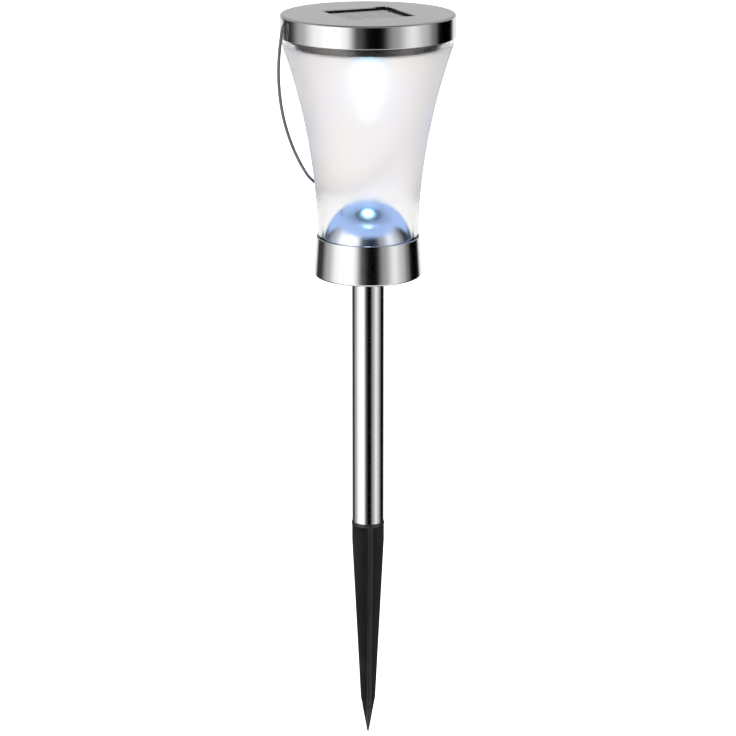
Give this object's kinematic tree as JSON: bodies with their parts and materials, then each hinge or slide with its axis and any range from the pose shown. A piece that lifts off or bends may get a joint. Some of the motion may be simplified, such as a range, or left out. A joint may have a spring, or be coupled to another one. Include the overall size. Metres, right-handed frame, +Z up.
{
  "type": "solar garden light",
  "caption": "Solar garden light: flared frosted lantern with a brushed steel cap, hanging bail and lift-off head, on a steel pole with a finned ground spike.",
  "frame": {"origin": "on the pole's axis at ground level, where the spike's shoulder meets the pole", "axes": "+Z up along the pole; X along the bail's pivots; the bail hangs on the +Y side"},
  "size_m": [0.1056, 0.1002, 0.4368],
  "materials": {
    "brushed_steel": "brushed stainless sheet",
    "bail_wire": "drawn stainless wire",
    "screw_steel": "zinc-plated screws",
    "contact_metal": "nickel-plated contacts and leads",
    "switch_metal": "tinned steel",
    "chrome_plate": "vacuum-plated mirror",
    "frosted_lens": "clear plastic, frosted towards the top",
    "clear_resin": "clear cast resin",
    "silicon": "blue-black silicon with silver fingers",
    "panel_board": "white laminate",
    "green_board": "solder mask over glass laminate",
    "chip_black": "moulded package with tinned pins",
    "inductor_body": "lacquered body",
    "capacitor_sleeve": "shrink sleeve",
    "battery_sleeve": "plain shrink sleeve",
    "lead_insulation": "soft insulation, red and black",
    "led_epoxy": "clear epoxy",
    "knob_plastic": "white moulded plastic",
    "black_plastic": "fine-textured moulded plastic",
    "black_foam": "closed-cell foam",
    "silicone": "soft silicone"
  },
  "bodies": {
    "stake": {"ground_spike": "black_plastic"},
    "pole": {"pole": "brushed_steel"},
    "lantern": {"collar": "brushed_steel", "base_insert": "black_plastic", "collar_screws": "screw_steel", "base_screws": "screw_steel", "dome_reflector": "chrome_plate", "lens": "frosted_lens"},
    "head": {"cap": "brushed_steel", "window_frame": "black_foam", "panel_resin": "clear_resin", "solar_cells": "silicon", "panel_board": "panel_board", "panel_tray": "black_plastic", "rim_seal": "silicone", "lens_o_ring": "silicone", "module_case": "black_plastic", "case_screws": "screw_steel", "battery_cell": "battery_sleeve", "battery_button": "contact_metal", "contact_plate": "contact_metal", "contact_spring": "contact_metal", "control_board": "green_board", "board_chip": "chip_black", "board_inductor": "inductor_body", "board_capacitor": "capacitor_sleeve", "board_screws": "screw_steel", "panel_leads": "lead_insulation", "battery_leads": "lead_insulation", "led_bezel": "chrome_plate", "led_bulb": "led_epoxy", "led_leads": "contact_metal", "switch_body": "switch_metal"},
    "knob": {"switch_knob": "knob_plastic"},
    "door": {"battery_door": "black_plastic", "door_pad": "black_foam", "door_screw": "screw_steel"},
    "bail": {"bail_handle": "bail_wire"}
  },
  "joints": [
    {"name": "pole_lift", "type": "slide", "parent": "stake", "child": "pole", "axis": [0, 0, 1], "range_m": [0, 0.03]},
    {"name": "lantern_lift", "type": "slide", "parent": "pole", "child": "lantern", "axis": [0, 0, 1], "range_m": [0, 0.025]},
    {"name": "head_lift", "type": "slide", "parent": "lantern", "child": "head", "axis": [0, 0, 1], "range_m": [0, 0.022]},
    {"name": "bail_swing", "type": "hinge", "parent": "head", "child": "bail", "pos_m": [0, 0, 0.2982], "axis": [1, 0, 0], "range_deg": [0, 324]},
    {"name": "switch_slide", "type": "slide", "parent": "head", "child": "knob", "axis": [-1, 0, 0], "range_m": [0, 0.002]},
    {"name": "door_drop", "type": "slide", "parent": "head", "child": "door", "axis": [0, 0, -1], "range_m": [0, 0.018]}
  ]
}
